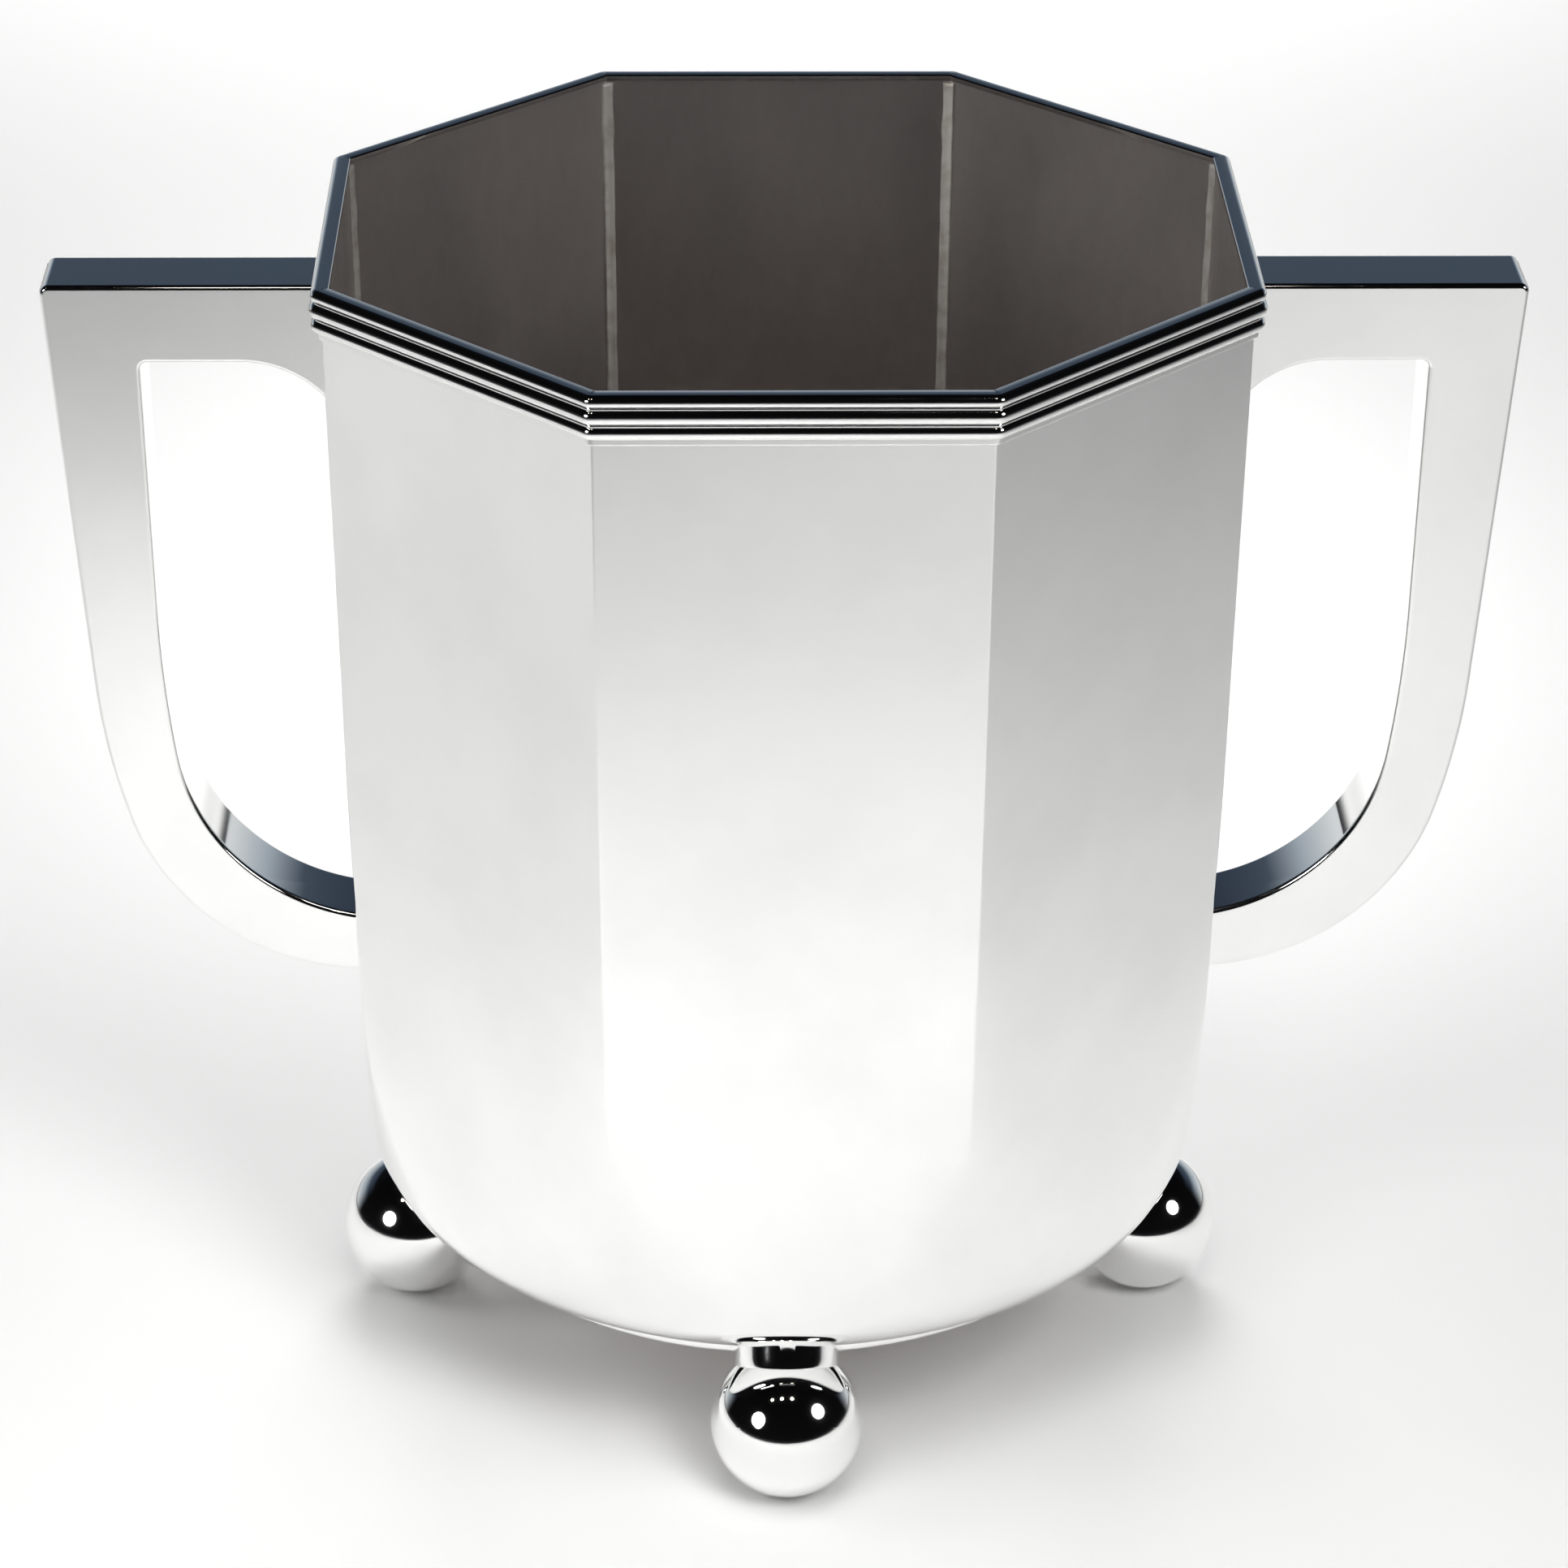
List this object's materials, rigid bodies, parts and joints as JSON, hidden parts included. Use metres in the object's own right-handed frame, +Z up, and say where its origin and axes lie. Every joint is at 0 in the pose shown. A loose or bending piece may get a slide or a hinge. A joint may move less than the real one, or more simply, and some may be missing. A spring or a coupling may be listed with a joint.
{
  "type": "champagne bucket",
  "caption": "Octagonal champagne bucket in polished silver, with a rounded foot, reeded rim, squared hollow handles and ball feet; holds a bottle in ice.",
  "frame": {"origin": "on the table, at the centre of the bucket", "axes": "+Z up, the handles lie along X, and a flat side with a foot faces -Y"},
  "size_m": [0.321, 0.2064, 0.268],
  "materials": {
    "polished_silver": "sterling silver sheet, soldered and mirror polished, with fine handling scratches",
    "satin_silver": "sterling silver sheet left satin inside, dulled by ice water",
    "silver_solder": "hard silver solder run into a corner and filed smooth"
  },
  "bodies": {
    "root": {"wall_panel_right": "polished_silver", "wall_panel_back_right": "polished_silver", "wall_panel_back": "polished_silver", "wall_panel_back_left": "polished_silver", "wall_panel_left": "polished_silver", "wall_panel_front_left": "polished_silver", "wall_panel_front": "polished_silver", "wall_panel_front_right": "polished_silver", "corner_seams": "silver_solder", "bottom_plate": "satin_silver", "base_ring": "polished_silver", "rim_moulding_right": "polished_silver", "rim_moulding_back_right": "polished_silver", "rim_moulding_back": "polished_silver", "rim_moulding_back_left": "polished_silver", "rim_moulding_left": "polished_silver", "rim_moulding_front_left": "polished_silver", "rim_moulding_front": "polished_silver", "rim_moulding_front_right": "polished_silver", "handle_right_front_cheek": "polished_silver", "handle_right_back_cheek": "polished_silver", "handle_right_top_plate": "polished_silver", "handle_right_outer_band": "polished_silver", "handle_right_inner_band": "polished_silver", "handle_left_front_cheek": "polished_silver", "handle_left_back_cheek": "polished_silver", "handle_left_top_plate": "polished_silver", "handle_left_outer_band": "polished_silver", "handle_left_inner_band": "polished_silver", "foot_upper_right": "polished_silver", "foot_upper_back": "polished_silver", "foot_upper_left": "polished_silver", "foot_upper_front": "polished_silver", "foot_lower_right": "polished_silver", "foot_lower_back": "polished_silver", "foot_lower_left": "polished_silver", "foot_lower_front": "polished_silver"}
  },
  "joints": []
}
